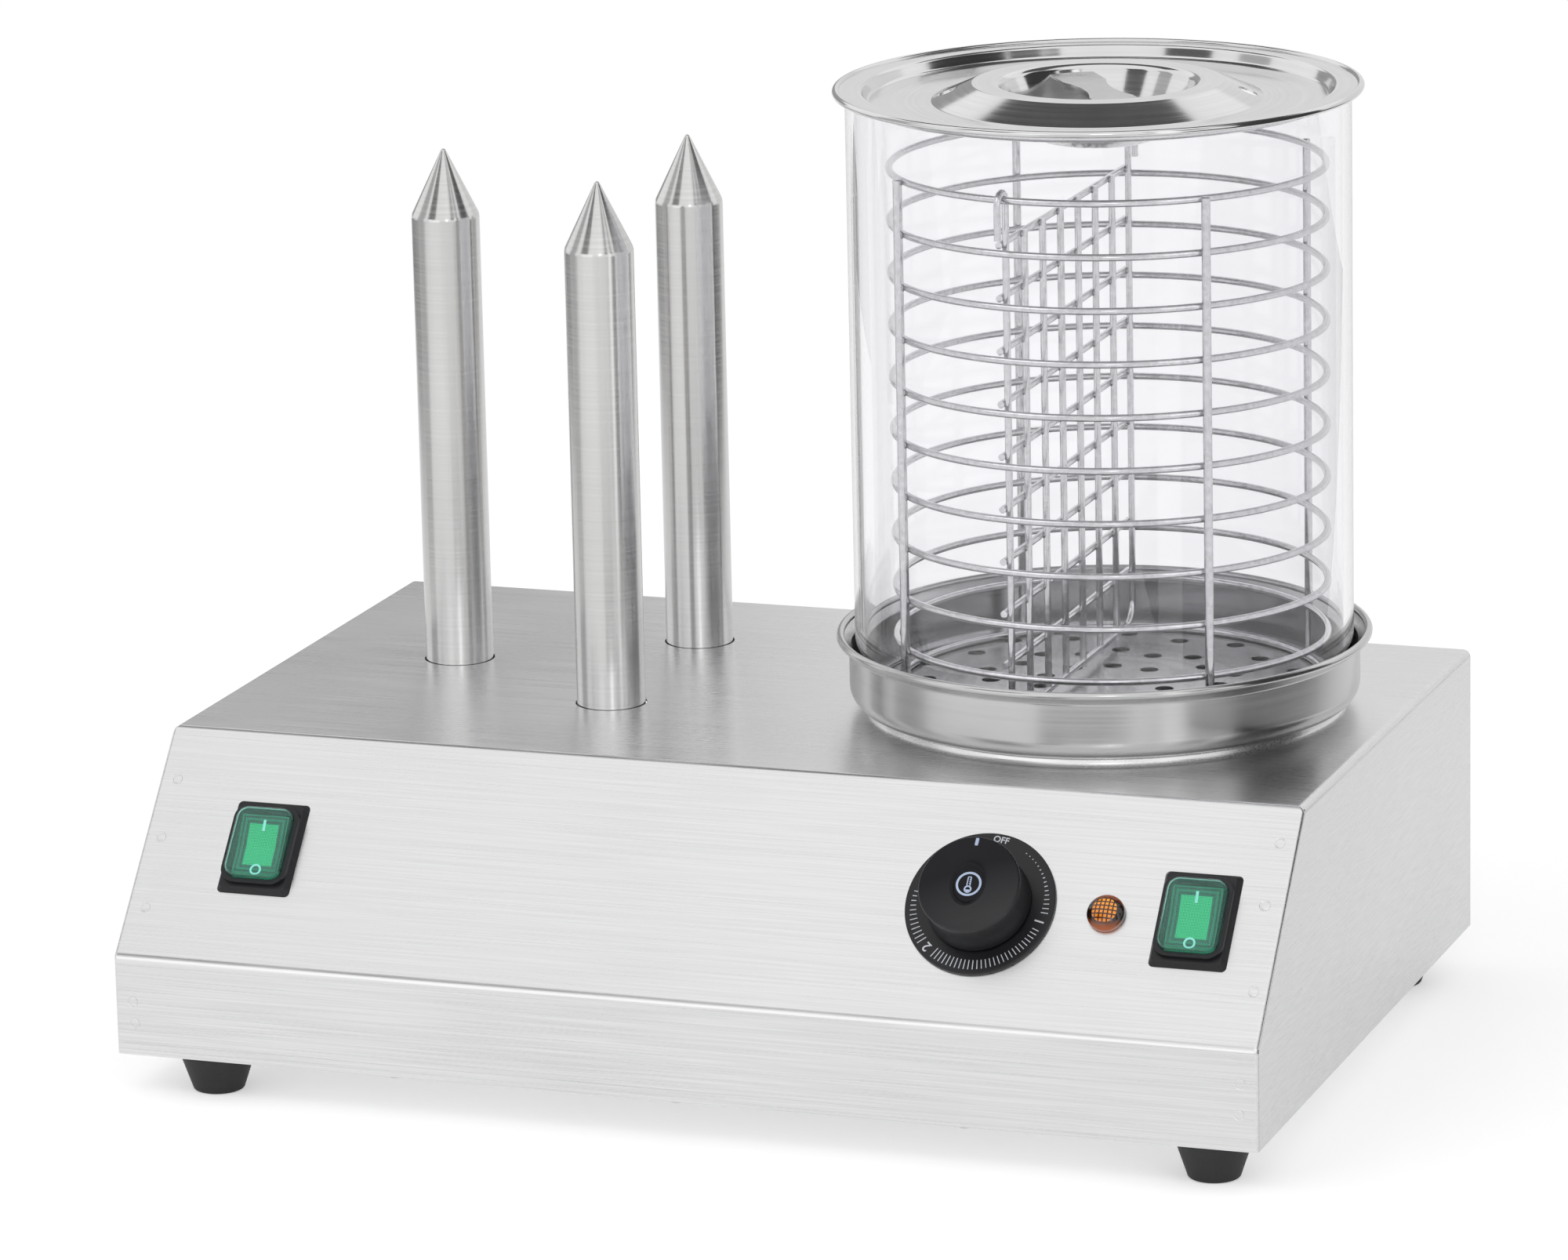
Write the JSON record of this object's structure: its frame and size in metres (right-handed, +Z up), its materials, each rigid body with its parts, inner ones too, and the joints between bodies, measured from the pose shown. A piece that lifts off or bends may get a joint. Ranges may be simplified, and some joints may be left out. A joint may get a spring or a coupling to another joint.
{
  "type": "hot dog steamer",
  "caption": "Counter-top hot dog steamer with a glass jar, wire basket, water pan, heated bun spikes, thermostat dial and rocker switches.",
  "frame": {"origin": "centre of the bounding box at its lowest face, on the table", "axes": "+X to the right as seen from the front, +Y to the back, +Z up; the controls face -Y"},
  "size_m": [0.472, 0.329, 0.3886],
  "materials": {
    "casing_steel": "brushed along the width, satin",
    "bright_steel": "bright zinc",
    "foot_rubber": "matt",
    "pan_steel": "spun, brushed around the axis",
    "lid_steel": "polished pressing",
    "spike_steel": "ground and polished",
    "chromed_wire": "polished wire",
    "clear_glass": "clear, polished edges",
    "heater_aluminium": "cast",
    "sheath_steel": "dark annealed sheath",
    "mineral_pad": "felted mineral fibre",
    "thermostat_case": "pressed",
    "copper": "drawn copper",
    "black_plastic": "fine grain",
    "knob_plastic": "fine grain, soft sheen",
    "amber_lens": "clear amber with a lens grid",
    "clear_cap": "clear soft cover",
    "green_rocker": "clear green with a ribbed window",
    "tab_brass": "plain",
    "block_plastic": "moulded"
  },
  "bodies": {
    "root": {"casing_shell": "casing_steel", "rear_panel": "casing_steel", "base_plate": "casing_steel", "casing_screws": "bright_steel", "base_screws": "bright_steel", "foot_front_left": "foot_rubber", "foot_front_right": "foot_rubber", "foot_rear_left": "foot_rubber", "foot_rear_right": "foot_rubber", "foot_screws": "bright_steel", "foot_nuts": "bright_steel", "water_pan": "pan_steel", "heating_plate": "heater_aluminium", "heating_element": "sheath_steel", "insulation_pad": "mineral_pad", "clamp_plate": "casing_steel", "heater_studs": "bright_steel", "heater_nuts": "bright_steel", "thermostat_body": "thermostat_case", "thermostat_bulb": "copper", "capillary_tube": "copper", "dial_plate": "black_plastic", "lamp_lens": "amber_lens", "lamp_body": "black_plastic", "spike_left_row": "spike_steel", "spike_front": "spike_steel", "spike_rear_row": "spike_steel", "spike_heater_left_row": "sheath_steel", "spike_heater_front": "sheath_steel", "spike_heater_rear_row": "sheath_steel", "spike_bracket": "casing_steel", "spike_screws": "bright_steel", "left_switch_housing": "black_plastic", "left_switch_cap": "clear_cap", "left_switch_terminals": "tab_brass", "right_switch_housing": "black_plastic", "right_switch_cap": "clear_cap", "right_switch_terminals": "tab_brass", "terminal_block": "block_plastic", "earth_stud": "tab_brass", "cable_gland": "black_plastic", "gland_locknut": "black_plastic"},
    "glass": {"glass_cylinder": "clear_glass"},
    "steam_plate": {"steam_plate": "pan_steel"},
    "basket": {"basket_rings": "chromed_wire", "basket_uprights": "chromed_wire"},
    "divider": {"wire_divider": "chromed_wire"},
    "lid": {"lid_pressing": "lid_steel", "lid_strap": "lid_steel"},
    "knob": {"control_knob": "knob_plastic", "control_shaft": "bright_steel"},
    "rocker_left": {"left_switch_rocker": "green_rocker"},
    "rocker_right": {"right_switch_rocker": "green_rocker"}
  },
  "joints": [
    {"name": "glass_lift", "type": "slide", "parent": "root", "child": "glass", "axis": [0, 0, 1], "range_m": [0, 0.06]},
    {"name": "steam_plate_lift", "type": "slide", "parent": "glass", "child": "steam_plate", "axis": [0, 0, 1], "range_m": [0, 0.03]},
    {"name": "basket_lift", "type": "slide", "parent": "steam_plate", "child": "basket", "axis": [0, 0, 1], "range_m": [0, 0.25]},
    {"name": "divider_lift", "type": "slide", "parent": "basket", "child": "divider", "axis": [0, 0, 1], "range_m": [0, 0.22]},
    {"name": "lid_lift", "type": "slide", "parent": "divider", "child": "lid", "axis": [0, 0, 1], "range_m": [0, 0.08]},
    {"name": "dial_turn", "type": "hinge", "parent": "root", "child": "knob", "pos_m": [0.116, -0.13101, 0.09523], "axis": [0, 0.7565, -0.654], "range_deg": [0, 280]},
    {"name": "left_switch_tilt", "type": "hinge", "parent": "root", "child": "rocker_left", "pos_m": [-0.1839, -0.12723, 0.09196], "axis": [-1, 0, 0], "range_deg": [0, 12]},
    {"name": "right_switch_tilt", "type": "hinge", "parent": "root", "child": "rocker_right", "pos_m": [0.2023, -0.12723, 0.09196], "axis": [-1, 0, 0], "range_deg": [0, 12]}
  ]
}
